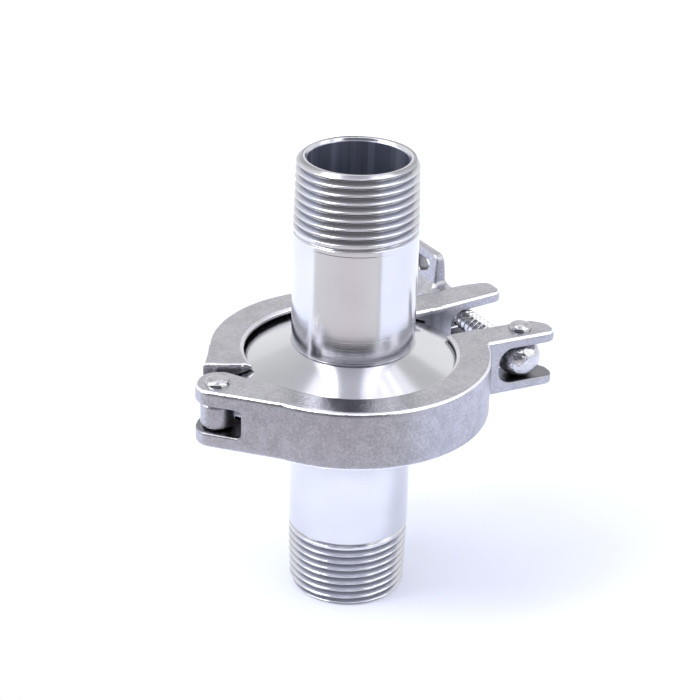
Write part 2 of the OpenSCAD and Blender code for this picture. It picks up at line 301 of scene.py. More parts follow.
def field_slopes(field, z):
    """Slopes of a radius field r(z, turn): along z, and round the axis for each millimetre."""
    step = 2 * np.pi / field.shape[1]
    return (np.gradient(field, z, axis=0),
            (np.roll(field, -1, 1) - np.roll(field, 1, 1)) / (2 * step) / field)


def ferrule_surface(cfg, cols=300):
    """Ferrule as a closed grid: profile points along one way, turns of the lathe along the other.

    Barrel and right-hand thread form r(z, turn) = min(barrel, taper - depth(z / pitch - turn)),
    lifted over the last pitch and a half so that the groove runs out, and cut by the 45 degree
    end chamfer. The rest of the profile is a rounded outline, the same at every angle.
    """
    rim, slope = cfg.rim_h / MM, math.tan(cfg.cone)
    neck, bevel, bevel_h, cham = (v / MM for v in (cfg.neck, cfg.bevel, cfg.bevel_h, cfg.chamfer))
    pitch, t_len, taper = cfg.pitch / MM, cfg.thread_len / MM, cfg.taper_len / MM
    base = rim + (FLANGE_R - BARREL_R) * slope
    crest_top = BARREL_R - CREST_DROP
    end_r = crest_top - taper / TAPER_RATIO
    corners = [(BORE_R, 0), (FLANGE_R - 0.2, 0), (FLANGE_R, 0.2), (FLANGE_R, rim),
               (BARREL_R + 0.5, base - 0.5 * slope), (BARREL_R - neck, base + 0.1),
               (BARREL_R - neck, base + 0.6), (BARREL_R, base + 0.85),
               (end_r - cham, FERRULE_LEN), (BORE_R + bevel, FERRULE_LEN),
               (BORE_R, FERRULE_LEN - bevel_h)]
    radii = [0.1, 0.08, 0.08, 0.35, 0.2, 0.12, 0.12, 0.12, 0.04, 0.12, 0.15]
    steps, before_barrel = 5, 8
    pts, nrm = rounded_loop(corners, radii, steps)
    split = before_barrel * steps

    z0, rows_per_pitch = FERRULE_LEN - t_len, 20
    plain = np.linspace(base + 1.3, z0 - 0.4, 12)
    threaded = np.linspace(z0 - 0.3, FERRULE_LEN, int((t_len + 0.3) / pitch * rows_per_pitch))
    z = np.concatenate([plain, threaded])
    zz, tt = z[:, None], turns(cols)
    lead_in, run_out = 0.88, 1.6 * pitch
    depth, full = thread_depth((zz - FERRULE_LEN) / pitch - tt / (2 * np.pi) + lead_in, pitch)
    crest = crest_top - (zz - (FERRULE_LEN - taper)) / TAPER_RATIO
    lift = np.clip((z0 + run_out - zz) / run_out, 0, 1) ** 1.5 * full * 1.02
    field = np.minimum(crest_top, crest + lift - depth)
    field = np.where(zz < z0 - 0.2, BARREL_R, field)
    field = np.minimum(field, end_r - cham + (FERRULE_LEN - zz))
    dz, dt = field_slopes(field, z)

    def framed(rows, middle):
        """Rows of the outline, with those of barrel and thread in place of one corner's."""
        rows = rows[:, None] + 0 * tt
        return np.concatenate([rows[:split], middle + 0 * tt, rows[split + steps:]])

    radius, height = framed(pts[:, 0], field), framed(pts[:, 1], zz)
    n_out, n_up = framed(nrm[:, 0], 1 + 0 * zz), framed(nrm[:, 1], -dz)
    verts, normals = lathe(tt, radius, height, n_out, framed(0 * pts[:, 0], -dt), n_up)
    return verts, torus_faces(*radius.shape), normals


def place(verts, normals, matrix):
    """Vertices and normals moved by a 4 x 4 matrix that only turns and shifts."""
    m = np.array(matrix)
    return verts @ m[:3, :3].T + m[:3, 3], normals @ m[:3, :3].T


# Distance fields for the castings

def both(a, b, r):
    """Intersection of two distance fields whose common edge is rounded with radius r."""
    return np.minimum(-r, np.maximum(a, b)) + np.hypot(np.maximum(r + a, 0), np.maximum(r + b, 0))


def join(a, b, r):
    """Union of two distance fields with a fillet of radius r in the corner between them."""
    return np.maximum(r, np.minimum(a, b)) - np.hypot(np.maximum(r - a, 0), np.maximum(r - b, 0))


def cut(a, b, r):
    """Field a without field b, the new edge rounded with radius r."""
    return both(a, -b, r)


def disc(x, y, centre, r):
    """Distance to a circle of radius r."""
    return np.hypot(x - centre[0], y - centre[1]) - r


def outline(x, y, points, r=0.0):
    """Signed distance to a closed polygon grown by r: least distance to any edge, negative
    where the winding count of the edges round the point is odd."""
    dist = np.full(np.broadcast(x, y).shape, 1e18)
    inside = np.zeros(dist.shape, bool)
    points = [np.array(p, float) for p in points]
    for p, q in zip(points, points[1:] + points[:1]):
        ex, ey = q - p
        wx, wy = x - p[0], y - p[1]
        t = np.clip((wx * ex + wy * ey) / (ex * ex + ey * ey), 0, 1)
        dist = np.minimum(dist, (wx - t * ex) ** 2 + (wy - t * ey) ** 2)
        crosses = (p[1] > y) != (q[1] > y)
        inside ^= crosses & (wx * ey < wy * ex) if ey > 0 else crosses & (wx * ey > wy * ex)
    return np.where(inside, -1, 1) * np.sqrt(dist) - r


def turned(x, y, centre, radians):
    """Coordinates turned by an angle about a centre."""
    c, s = math.cos(radians), math.sin(radians)
    x, y = x - centre[0], y - centre[1]
    return x * c - y * s + centre[0], x * s + y * c + centre[1]


def near(distance):
    """1 on a surface whose distance is under 0.1 mm, falling to 0 at 0.5 mm."""
    return np.clip((0.5 - np.abs(distance)) / 0.4, 0, 1)


def skin(field, lo, hi, step):
    """Closed quad mesh of the surface where a distance field is zero.

    Each grid cell that the surface crosses holds one vertex, at the mean of the crossings on
    the cell's edges; four cells round a crossed edge share a quad. The vertices are then drawn
    to the surface along the field's slope, and the slope gives their normals.
    """
    axes = [np.arange(a, b + step, step) for a, b in zip(lo, hi)]
    f = field(axes[0][:, None, None], axes[1][None, :, None], axes[2][None, None, :])
    neg = f < 0
    cells = tuple(n - 1 for n in f.shape)
    total = np.zeros(cells + (3,))
    count = np.zeros(cells)
    quads, flips = [], []
    for ax in range(3):
        a = [slice(None)] * 3
        b = [slice(None)] * 3
        a[ax], b[ax] = slice(0, -1), slice(1, None)
        hit = np.argwhere(neg[tuple(a)] != neg[tuple(b)])
        nxt = hit.copy()
        nxt[:, ax] += 1
        fa, fb = f[tuple(hit.T)], f[tuple(nxt.T)]
        point = hit.astype(float)
        point[:, ax] += fa / (fa - fb)
        u, v = [k for k in range(3) if k != ax]
        ring = []
        for du, dv in ((0, 0), (1, 0), (1, 1), (0, 1)):
            cell = hit.copy()
            cell[:, u] -= du
            cell[:, v] -= dv
            ring.append(cell)
            np.add.at(total, tuple(cell.T), point)
            np.add.at(count, tuple(cell.T), 1)
        quads.append(np.stack(ring, 1))
        flips.append((fa < 0) ^ (ax == 1))
    used = count > 0
    index = np.full(cells, -1)
    index[used] = np.arange(used.sum())
    verts = total[used] / count[used][:, None] * step + np.array(lo)
    faces = []
    for quad, flip in zip(quads, flips):
        q = index[quad[..., 0], quad[..., 1], quad[..., 2]]
        faces.append(np.where(flip[:, None], q, q[:, ::-1]))
    faces = np.concatenate(faces)

    def slope(p):
        """Unit slope of the field at the points p, from values h to either side."""
        h = 0.02
        parts = [field(p[:, 0] + (k == 0) * h, p[:, 1] + (k == 1) * h, p[:, 2] + (k == 2) * h)
                 - field(p[:, 0] - (k == 0) * h, p[:, 1] - (k == 1) * h, p[:, 2] - (k == 2) * h)
                 for k in range(3)]
        g = np.stack(parts, -1) / (2 * h)
        return g / np.maximum(np.linalg.norm(g, axis=1), 1e-6)[:, None]

    for _ in range(2):
        verts = verts - slope(verts) * field(*verts.T)[:, None]
    return verts, faces, slope(verts)


def clamp_space(cfg, rho, z):
    """Distance to the space for the two flanges: bore between the lips, and V groove."""
    flange = settings("union_ferrules")
    slope, lip, bev = math.tan(flange.cone), cfg.lip_r / MM, cfg.lip_bevel / MM
    groove = RING_R - cfg.wall / MM
    room = GASKET_FACE - CLAMP_Z + (flange.rim_h + cfg.flank_room) / MM

    def flank(r):
        """Height of the groove's flank above its middle at radius r."""
        return room + (FLANGE_R - r) * slope

    above = 3
    top, low = HALF_H + above, HALF_H - cfg.bevel_h / MM
    slant = bev / (cfg.bevel_h / MM) * above
    half = [(-FAR, 0), (groove, 0), (groove, flank(groove)), (lip, flank(lip)), (lip, low),
            (lip + bev, HALF_H), (lip + bev + slant, top), (-FAR, top)]
    return outline(rho, np.abs(z), half)


def hinge_slot(x, y, z):
    """Distance to the slot between the two hinge ears, a disc about the pin."""
    slot_r, half, round_r = 10.2, 4.0, 1.3
    return both(disc(x, y, HINGE, slot_r), np.abs(z) - half, round_r)


def bolt_slot(x, z):
    """Distance to the slot in the bolt ears, round at the ring's end and open at the tip."""
    half, corner, land = 5.2, 4.2, 2.4
    inner, flat = RING_R + land + corner, half - corner
    return outline(x, z, [(inner, -flat), (FAR, -flat), (FAR, flat), (inner, flat)], corner)


def front_field(cfg):
    """Distance field of the front half: ring, hinge ears and bolt ears, less groove and slots.

    The second function returned is 1 in the groove and the slots, where shade is painted, and
    0 away from them.
    """
    edge = cfg.edge_r / MM
    tangent = math.radians(217)
    corner = RING_R * np.array([math.cos(tangent), math.sin(tangent)])
    gap = corner - HINGE
    turn = math.atan2(gap[1], gap[0]) - math.acos(HINGE_R / np.linalg.norm(gap))
    lobe = HINGE + HINGE_R * np.array([math.cos(turn), math.sin(turn)])
    crown = HINGE + HINGE_R * np.array([0.1, 0.16])
    ear_w, tip, tip_cut, root = 9.8, EAR_TIP_R, 2.0, EAR_ROOT
    front, back = PIVOT[1] - 0.56 * ear_w, PIVOT[1] + 0.44 * ear_w
    part = [RING_R * np.array([-1.575, 0.748]), RING_R * np.array([-0.777, -0.249]),
            RING_R * np.array([-0.577, -0.357]), (0.525 * RING_R, back), (FAR, back),
            (FAR, -FAR), (-FAR, -FAR)]
    arm = [lobe, corner, corner * 0.86, HINGE + HINGE_R * np.array([2.5, -1.45]),
           HINGE + HINGE_R * np.array([0.85, 0.78]), HINGE]
    ear = [(root + tip, front + tip), (EAR_X - tip, front + tip),
           (EAR_X - tip, back - tip - tip_cut), (EAR_X - tip - tip_cut, back - tip),
           (root + tip, back - tip)]

    def field(x, y, z):
        plan = both(disc(x, y, (0, 0), RING_R), outline(x, y, part), 0.8)
        hinge = np.minimum(disc(x, y, HINGE, HINGE_R), disc(x, y, crown, HINGE_R))
        hinge = np.minimum(hinge, outline(x, y, arm))
        inward = RING_R - 1 - x * math.cos(tangent) - y * math.sin(tangent)
        plan = join(plan, hinge, 0.01 + 0.59 * np.clip(inward / 3, 0, 1))
        plan = join(plan, outline(x, y, ear, tip), 0.8)
        body = both(plan, np.abs(z) - HALF_H, edge)
        body = cut(body, clamp_space(cfg, np.hypot(x, y), z), 0.22)
        body = cut(body, hinge_slot(x, y, z), 0.55)
        body = cut(body, bolt_slot(x, z) + 0 * y, 0.6)
        body = np.maximum(body, -disc(x, y, HINGE, PIN_R))
        return np.maximum(body, -disc(x, y, PIVOT, PIN_R))

    def recess(x, y, z):
        groove = near(clamp_space(cfg, np.hypot(x, y), z)) * (np.abs(z) < HALF_H - SHADE_INSET)
        return np.maximum(np.maximum(near(hinge_slot(x, y, z)), near(bolt_slot(x, z))), groove)

    return field, recess


def rear_field(cfg):
    """Distance field of the rear half, worked out closed and then turned open on the hinge.

    The second function returned is 1 in the groove, the slot and the parting faces, where
    shade is painted.
    """
    edge, open_angle = cfg.edge_r / MM, cfg.open_angle
    tip, ear_w, crown, taper = EAR_TIP_R, 11.6, 0.9, 1.9
    pivot = np.array(turned(PIVOT[0], PIVOT[1], HINGE, -open_angle))
    front, back = pivot[1] + SEAT_R - ear_w, pivot[1] + SEAT_R - crown
    bearing = math.radians(154)
    shoulder = RING_R * np.array([math.cos(bearing), math.sin(bearing)])
    part = [RING_R * np.array([-1.575, 0.386]), RING_R * np.array([-0.656, -0.016]),
            (0.525 * RING_R, front), (FAR, front), (FAR, FAR), (-FAR, FAR)]
    heel = [shoulder, HINGE + HINGE_R * np.array([0.18, 2]), RING_R * np.array([-0.814, 0.053]),
            RING_R * np.array([-0.814, 0.42])]
    ear = [(EAR_ROOT, front + tip), (EAR_X - tip, front + tip + taper),
           (EAR_X - tip, back - 0.97 * tip), (EAR_ROOT, back)]
    neck = [HINGE + KNUCKLE_R * np.array(p) for p in
            ((-0.98, 0.17), (0.94, -0.34), (1.85, 2.04), (1.2, 3.3), (0.5, 2.76))]

    def field(x, y, z):
        x, y = turned(x, y, HINGE, -open_angle)
        plan = both(disc(x, y, (0, 0), RING_R), outline(x, y, part), 0.8)
        plan = join(plan, outline(x, y, heel), 0.6)
        seat = np.minimum(disc(x, y, pivot, SEAT_R),
                          np.maximum(np.abs(x - RING_R * 0.795) - RING_R * 0.295, y - back))
        plan = join(plan, np.maximum(outline(x, y, ear, tip), seat), 0.8)
        body = both(plan, np.abs(z) - HALF_H, edge)
        knuckle = np.minimum(disc(x, y, HINGE, KNUCKLE_R), outline(x, y, neck))
        body = join(body, both(knuckle, np.abs(z) - 3.6, 1.0), 0.4)
        body = cut(body, clamp_space(cfg, np.hypot(x, y), z), 0.22)
        body = cut(body, bolt_slot(x, z) + 0 * y, 0.6)
        return np.maximum(body, -disc(x, y, HINGE, PIN_R + PIN_PLAY))

    def recess(x, y, z):
        x, y = turned(x, y, HINGE, -open_angle)
        hidden = np.maximum(near(clamp_space(cfg, np.hypot(x, y), z)), near(outline(x, y, part)))
        return np.maximum(near(bolt_slot(x, z)), hidden * (np.abs(z) < HALF_H - SHADE_INSET))

    return field, recess


def eye_field(cfg):
    """Distance field of the bolt's eye with its neck, x across, y along the bolt, z up."""
    half, round_r, neck_r, neck_half = 5.0, 4.6, 2.75, 5.0

    def field(x, y, z):
        eye = both(disc(x, y, (0, 0), cfg.eye_r / MM), np.abs(z) - half, round_r)
        neck = both(np.hypot(x, z) - neck_r, np.abs(y - neck_half) - neck_half, 0.3)
        eye = join(eye, neck, 0.9)
        return cut(eye, disc(x, y, (0, 0), PIN_R + PIN_PLAY), 0.2)

    return field


def wing_field(cfg):
    """Distance field of the wing nut, x across the wings, y along the bolt from the seat.

    The wings grow 0.18 mm thicker for each millimetre towards the hub. The second function
    returned is 1 in the loops of the wings, where shade is painted.
    """
    reach, half_t, corner = cfg.wing_reach / MM, cfg.wing_t / MM / 2, 2.6
    first, last, length_mm, nose, cham = 8.3, 27.2, 21.0, 5.7, 0.7
    hub = [(-FAR, 0), (nose - cham, 0), (nose, cham), (nose, 2.5),
           (nose - cham, length_mm - cham), (nose - 2 * cham, length_mm), (-FAR, length_mm)]
    wing = [(corner, first + corner), (reach - corner, first + corner),
            (reach - corner, last - corner), (corner, length_mm - corner)]
    hx, hy, hl = reach - 4.1, first + 5.2, 4.6
    hole_r, nut_play = 1.1, 0.08
    hole = [(hx - 0.19 * hl, hy + 0.11 * hl), (hx, hy), (hx, hy + hl),
            (hx - 0.42 * hl, hy + 0.66 * hl)]

    def field(x, y, z):
        up = np.abs(z)
        body = outline(np.hypot(x, z), y + 0 * x + 0 * z, hub)
        body = both(body, np.hypot(x, z) - nose - 0.3, 0.3)
        plan = cut(outline(up, y, wing, corner), outline(up, y, hole, hole_r), 0.5)
        draft = 0.09 * np.clip(reach - up, 0, reach)
        body = join(body, both(plan + 0 * x, np.abs(x) - half_t - draft, 0.6), 1.6)
        return cut(body, np.hypot(x, z) - cfg.bolt_r / MM - nut_play, 0.3)

    def recess(x, y, z):
        return near(outline(np.abs(z), y, hole, hole_r)) * (np.abs(x) < half_t + 0.5)

    return field, recess


def close_ends(verts, normals, cols, heights, facing):
    """Close a tube of rings about z by a fan to one vertex on the axis at each end.

    heights are the z of the two new vertices and facing the z of their normals.
    """
    rows = len(verts) // cols
    verts = np.concatenate([verts, [[0, 0, heights[0]], [0, 0, heights[1]]]])
    normals = np.concatenate([normals, [[0, 0, facing[0]], [0, 0, facing[1]]]])
    j = np.arange(cols)
    k = (j + 1) % cols
    last = (rows - 1) * cols
    low = np.stack([np.full(cols, rows * cols), k, j, j], 1)
    high = np.stack([last + j, last + k] + [np.full(cols, rows * cols + 1)] * 2, 1)
    return verts, np.concatenate([torus_faces(rows, cols)[:last], low, high]), normals


def revolved(profile, normal, cols=72):
    """Solid of revolution about z of an outline in (r, z) that starts and ends on the axis."""
    r, z = profile[1:-1].T[:, :, None]
    n_out, n_up = normal[1:-1].T[:, :, None]
    verts, normals = lathe(turns(cols), r, z, n_out, 0, n_up)
    return close_ends(verts, normals, cols, profile[[0, -1], 1], normal[[0, -1], 1])


def bolt_shank(cfg, start=8.6, cols=72):
    """Threaded shank along z from start to the bolt's tip, as a field r(z, turn) with closed ends.

    r(z, turn) = min(crest - 0.75 depth(z / pitch + turn), the chamfers of the two ends).
    """
    crest, pitch, tip = cfg.bolt_r / MM, cfg.bolt_pitch / MM, cfg.bolt_len / MM
    end_r, rows_per_pitch = crest - 1.1, 16
    z = np.linspace(start, tip, int((tip - start) / pitch * rows_per_pitch))
    zz, tt = z[:, None], turns(cols)
    field = crest - thread_depth(zz / pitch + tt / (2 * np.pi), pitch)[0] * 0.75
    field = np.minimum(field, end_r + np.minimum(tip - zz, (zz - start) * 0.8 + 0.5))
    dz, dt = field_slopes(field, z)
    verts, normals = lathe(tt, field, zz, 1, -dt, -dz)
    return close_ends(verts, normals, cols, (start, tip), (-1, 1))


def riveted_pin(head_r, head_h, steps=13):
    """Pin with a button head at both ends, about z and centred on 0.

    With t from 90 to 0 degrees the head's outline is r = head_r cos(t)^0.85 and
    z = head_h sin(t)^0.95 above the clamp, a dome with steep sides; its normal is
    (cos(t)^1.15 / head_r, sin(t)^1.05 / head_h) made one long.
    """
    t = np.linspace(np.pi / 2, 0, steps)
    cos, sin = np.maximum(np.cos(t), 0), np.sin(t)
    cos[0] = 0.0
    cap = np.stack([head_r * cos ** 0.85, HALF_H + head_h * sin ** 0.95], 1)
    cap_n = np.stack([cos ** 1.15 / head_r, sin ** 1.05 / head_h], 1)
    cap_n /= np.linalg.norm(cap_n, axis=1)[:, None]
    under = HALF_H - 0.05
    half = np.concatenate([cap, [[head_r - 0.02, under], [PIN_R, under], [PIN_R, 0]]])
    half_n = np.concatenate([cap_n, [[0.7, -0.7], [0.7, -0.7], [1, 0]]])
    down = half[:-1][::-1] * [1, -1]
    down_n = half_n[:-1][::-1] * [1, -1]
    return revolved(np.concatenate([half, down]), np.concatenate([half_n, down_n]))


# Shader maths

class Socket:
    """A node socket that arithmetic works on; every expression adds its Math nodes."""

    def __init__(self, nodes, out):
        self.nodes, self.out = nodes, out

    def math(self, operation, *values):
        return self.nodes.math(operation, *values)

    def __add__(self, other):
        return self.math("ADD", self, other)

    def __sub__(self, other):
        return self.math("SUBTRACT", self, other)

    def __rsub__(self, other):
        return self.math("SUBTRACT", other, self)

    def __mul__(self, other):
        return self.math("MULTIPLY", self, other)

    def __truediv__(self, other):
        return self.math("DIVIDE", self, other)

    def __pow__(self, other):
        return self.math("POWER", self, other)

    def __abs__(self):
        return self.math("ABSOLUTE", self)

    __radd__ = __add__
    __rmul__ = __mul__

    def ramp(self, low, high, start=0.0, end=1.0):
        """Smooth step from start to end as the value goes from low to high."""
        return self.nodes.add("ShaderNodeMapRange", {"interpolation_type": "SMOOTHSTEP"},
                              {0: self, 1: low, 2: high, 3: start, 4: end})


class Nodes:
    """Builds the node tree of one material or world."""

    def __init__(self, tree):
        self.tree = tree
        tree.nodes.clear()

    def add(self, kind, options=None, values=None, out=0):
        """Add a node: its settings first, then values or links for its sockets."""
        node = self.tree.nodes.new(kind)
        for key, value in (options or {}).items():
            setattr(node, key, value)
        for key, value in (values or {}).items():
            if isinstance(value, Socket):
                self.tree.links.new(value.out, node.inputs[key])
            else:
                node.inputs[key].default_value = value
        return Socket(self, node.outputs[out]) if len(node.outputs) else None

    def math(self, operation, *values):
        """A Math node on sockets and numbers."""
        return self.add("ShaderNodeMath", {"operation": operation}, dict(enumerate(values)))

    def point(self, stretch=(1, 1, 1)):
        """Object coordinates in metres, stretched along the three axes."""
        coords = self.add("ShaderNodeTexCoord", out="Object")
        return self.add("ShaderNodeVectorMath", {"operation": "MULTIPLY"}, {0: coords, 1: stretch})

    def split(self, vector):
        """The three parts of a vector."""
        first = self.add("ShaderNodeSeparateXYZ", None, {0: vector})
        return [Socket(self, first.out.node.outputs[k]) for k in range(3)]

    def noise(self, scale, detail=3.0, stretch=(1, 1, 1), rough=0.5):
        """Noise value at the given scale per metre."""
        return self.add("ShaderNodeTexNoise", None, {"Vector": self.point(stretch), "Scale": scale,
                                                     "Detail": detail, "Roughness": rough})

    def mix(self, factor, first, second):
        """Colour mix of two colours or colour sockets."""
        node = self.add("ShaderNodeMix", {"data_type": "RGBA"}, {"Factor": factor}, out=2)
        for slot, value in ((6, first), (7, second)):
            if isinstance(value, Socket):
                self.tree.links.new(value.out, node.out.node.inputs[slot])
            else:
                node.out.node.inputs[slot].default_value = (*value[:3], 1)
        return node

    def bump(self, height, distance):
        """Bump normal from a height between 0 and 1 and its depth in metres."""
        return self.add("ShaderNodeBump", None, {"Distance": distance, "Height": height})


def material(name, build):
    """A material whose Principled shader takes its inputs from build(nodes)."""
    mat = bpy.data.materials.new(name)
    mat.use_nodes = True
    nodes = Nodes(mat.node_tree)
    inputs = build(nodes)
    shader = nodes.add("ShaderNodeBsdfPrincipled", None, inputs)
    nodes.add("ShaderNodeOutputMaterial", None, {"Surface": shader})
    return mat


def rgba(rgb, gain=1.0):
    """A colour with alpha 1, its channels times gain."""
    return (rgb[0] * gain, rgb[1] * gain, rgb[2] * gain, 1.0)


def turned_steel(cfg):
    """Polished lathe work: fine rings along z, duller cut thread with painted shade in its valleys,
    and a streaked bore painted darker as shade.

    e is the distance from the nearer pipe end, and the depth below the thread's crests is
    crest radius at e less the radius.
    """
    crest_top = BARREL_R - CREST_DROP
    taper, thread = cfg.taper_len / MM, cfg.thread_len / MM

    def build(n):
        x, y, z = n.split(n.point())
        radius = (x * x + y * y) ** 0.5 / MM
        end = TOTAL_H / 2 - abs(z / MM - TOTAL_H / 2)
        inside = radius.ramp(BORE_R + 0.25, BORE_R + 0.05)
        on_thread = end.ramp(thread + 0.1, thread - 0.3) * radius.ramp(BORE_R + 0.9, BORE_R + 1.1)
        depth = (end - taper) / TAPER_RATIO + crest_top - radius
        valley = depth.ramp(0.15, 1.15) * on_thread
        rings = n.noise(1500, 2, (0.003, 0.003, 2.4))
        bands = n.noise(330, 2, (0.003, 0.003, 1.2))
        streaks = n.noise(260, 3, (1, 1, 0.03))
        smudge = n.noise(70, 3)
        tint = n.mix(smudge.ramp(0.35, 0.7), rgba(cfg.steel), rgba(cfg.steel, 0.95))
        # Painted shade: the thread's valleys are darker than its crests
        tint = n.mix(valley * 0.8, tint, rgba(cfg.steel, 0.45))
        above_cone = abs(z / MM - CLAMP_Z)
        neck_shade = above_cone.ramp(26, 13) * radius.ramp(BARREL_R + 0.4, BARREL_R + 0.1)
        tint = n.mix(neck_shade * (1 - inside), tint, rgba(cfg.steel, 0.78))
        # Painted shade: the bore is darker and bluer than the steel, with streaks
        bore = n.mix(streaks.ramp(0.42, 0.72), (0.33, 0.35, 0.44), (0.66, 0.69, 0.80))
        near_flange = above_cone.ramp(32, 15)
        height = (rings * 0.7 + bands * 0.9) * (1 + near_flange * 1.6)
        return {"Base Color": n.mix(inside, tint, bore),
                "Metallic": 1.0,
                "Roughness": smudge * 0.06 + cfg.gloss - 0.03 + inside * 0.25 + valley * 0.04,
                "Normal": n.bump(height, 0.000011)}
    return material("turned_steel", build)


def cast_steel(name, cfg, edge_highlight):
    """Satin investment casting: mottled sides, smoother ground top and bottom, painted edge
    highlight.

    The third argument, between 0 and 1, is how bright the painted highlight on the rounded
    edges is. Hollows, marked by the mesh's recess attribute, are painted darker as shade.
    """
    def build(n):
        up = abs(n.split(n.add("ShaderNodeNewGeometry", out="Normal"))[2])
        flat = up.ramp(0.86, 0.985)
        # Mask of the rounded edges, by how steeply their normal leans, for the painted highlight
        edge = up.ramp(0.30, 0.48) * up.ramp(0.82, 0.95, 1.0, 0.0)
        pits = n.noise(1500, 4, rough=0.6)
        blotch = n.noise(240, 3)
        wide = n.noise(45, 2)
        tone = (blotch * 0.3 + wide * 0.15 + pits * 0.55).ramp(0.38, 0.62)
        side = n.mix(tone, rgba(cfg.steel, 0.74), rgba(cfg.steel, 1.04))
        ground = n.mix(tone, rgba(cfg.steel, 0.78), rgba(cfg.steel, 1.00))
        hollow = n.add("ShaderNodeAttribute", {"attribute_name": "recess"}, out="Fac")
        edge = edge * edge_highlight * (1 - hollow)
        # Painted highlight: the rounded edges get a near-white colour
        highlight_and_shade = n.mix(edge, n.mix(flat, side, ground), (0.94, 0.94, 0.98))
        # Painted shade: hollows, slots, groove and parting faces are darker
        highlight_and_shade = n.mix(hollow, highlight_and_shade, rgba(cfg.steel, 0.42))
        rough = (cfg.rough + (blotch - 0.5) * 0.16 + flat * (cfg.flat_rough - cfg.rough)
                 - edge * (cfg.rough - 0.17))
        return {"Base Color": highlight_and_shade, "Metallic": 1.0, "Roughness": rough,
                "Normal": n.bump(pits * 0.7 + blotch * 0.5, 0.00012)}
    return material(name, build)


def bright_steel(name, rgb, rough, dents):
    """Tumbled small parts: bright steel with shallow dents of the given depth in metres."""
    def build(n):
        smudge = n.noise(400, 3)
        return {"Base Color": n.mix(smudge.ramp(0.3, 0.75), rgba(rgb, 0.88), rgba(rgb)),
                "Metallic": 1.0, "Roughness": smudge * 0.12 + rough,
                "Normal": n.bump(n.noise(850, 2), dents)}
    return material(name, build)


def silicone():
    """White silicone of the gasket with a faint speckle."""
    def build(n):
        speck = n.noise(900, 3)
        return {"Base Color": n.mix(speck, (0.82, 0.81, 0.78), (0.88, 0.87, 0.84)),
                "Roughness": speck * 0.1 + 0.42, "Normal": n.bump(speck, 0.00002)}
    return material("white_silicone", build)


# Operators

def settings(name):
    """One group of settings of the current scene."""
    return getattr(bpy.context.scene, name)


def finish_piece(obj, body, node, mat):
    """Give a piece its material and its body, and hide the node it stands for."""
    obj.data.materials.append(mat)
    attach(obj, body)
    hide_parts(node)


class UNION_OT_ferrules(bpy.types.Operator):
    """Build the two threaded ferrules"""
    bl_idname = "union.ferrules"
    bl_label = "Ferrules"

    def execute(self, context):
        cfg = settings("union_ferrules")
        steel = turned_steel(cfg)
        verts, faces, normals = ferrule_surface(cfg)
        lower_turn = -2.07
        up = Matrix.Translation((0, 0, GASKET_FACE))
        down = (Matrix.Translation((0, 0, 2 * CLAMP_Z - GASKET_FACE))
                @ Matrix.Rotation(math.pi, 4, "X") @ Matrix.Rotation(lower_turn, 4, "Z"))
        for name, where in (("upper_ferrule", up), ("lower_ferrule", down)):
            moved = place(verts, normals, where)
            obj = make_object(name + "_steel", moved[0], faces, moved[1])
            finish_piece(obj, FIXED_BODY, name, steel)
        return {"FINISHED"}


class UNION_OT_clamp(bpy.types.Operator):
    """Build the two cast clamp halves and finish the gasket between the ferrules"""
    bl_idname = "union.clamp"
    bl_label = "Clamp halves"

    def execute(self, context):
        cfg = settings("union_clamp")
        steel = cast_steel("cast_steel", cfg, edge_highlight=1.0)
        mid = np.array([0, 0, CLAMP_Z])
        for name, body, (field, recess) in (("front_half", FIXED_BODY, front_field(cfg)),
                                            ("rear_half", "rear_clamp_half", rear_field(cfg))):
            lo, hi = box_mm(name)
            verts, faces, normals = skin(field, lo - mid - 1.0, hi - mid + 1.0, step=0.42)
            obj = make_object(name + "_casting", verts + mid, faces, normals, recess(*verts.T))
            finish_piece(obj, body, name, steel)
        gasket = bpy.data.objects["gasket"]
        gasket.data.materials.clear()
        gasket.data.materials.append(silicone())
        return {"FINISHED"}


class UNION_OT_bolt(bpy.types.Operator):
    """Build the two riveted pins, the swing bolt and the wing nut"""
    bl_idname = "union.bolt"
    bl_label = "Pins, bolt and nut"

    def execute(self, context):
        cfg = settings("union_bolt")
        clamp = settings("union_clamp")
        bright = bright_steel("bolt_steel", rgba(cfg.steel, 0.9), rough=0.12, dents=0.00004)
        dented = bright_steel("eye_steel", rgba(cfg.steel, 0.8), rough=0.17, dents=0.0003)
        rivet = bright_steel("rivet_steel", rgba(cfg.steel, 0.66), rough=0.15, dents=0.00012)
        for name, centre, radius, height in (("hinge_pin", HINGE, 3.4, 1.75),
                                             ("bolt_pin", PIVOT, 3.25, 2.0)):
            verts, faces, normals = riveted_pin(radius, height)
            obj = make_object(name + "_rivet", verts + [*centre, CLAMP_Z], faces, normals)
            finish_piece(obj, FIXED_BODY, name, rivet)

        lean = math.atan2(-BOLT_AXIS[0], BOLT_AXIS[1])
        stand = Matrix.Translation((*PIVOT, CLAMP_Z)) @ Matrix.Rotation(lean, 4, "Z")
        lie = Matrix.Rotation(-math.pi / 2, 4, "X")
        eye = skin(eye_field(cfg), (-7, -7, -5.5), (7, 11, 5.5), step=0.28)
        shank = bolt_shank(cfg)
        verts, normals = place(eye[0], eye[2], stand)
        eye_obj = make_object("swing_bolt_eye", verts, eye[1], normals)
        verts, normals = place(shank[0], shank[2], stand @ lie)
        shank_obj = make_object("swing_bolt_shank", verts, shank[1], normals)
        finish_piece(eye_obj, "bolt", "swing_bolt", dented)
        finish_piece(shank_obj, "bolt", "swing_bolt", bright)

        seat_at = SEAT_R + NUT_GAP
        field, recess = wing_field(cfg)
        wing = skin(field, (-7, -1, -15.5), (7, 28.5, 15.5), step=0.36)
        verts, normals = place(wing[0] + [0, seat_at, 0], wing[2], stand)
        nut = make_object("wing_nut_casting", verts, wing[1], normals, recess(*wing[0].T))
        finish_piece(nut, "nut", "wing_nut", cast_steel("nut_steel", clamp, edge_highlight=0.0))
        return {"FINISHED"}


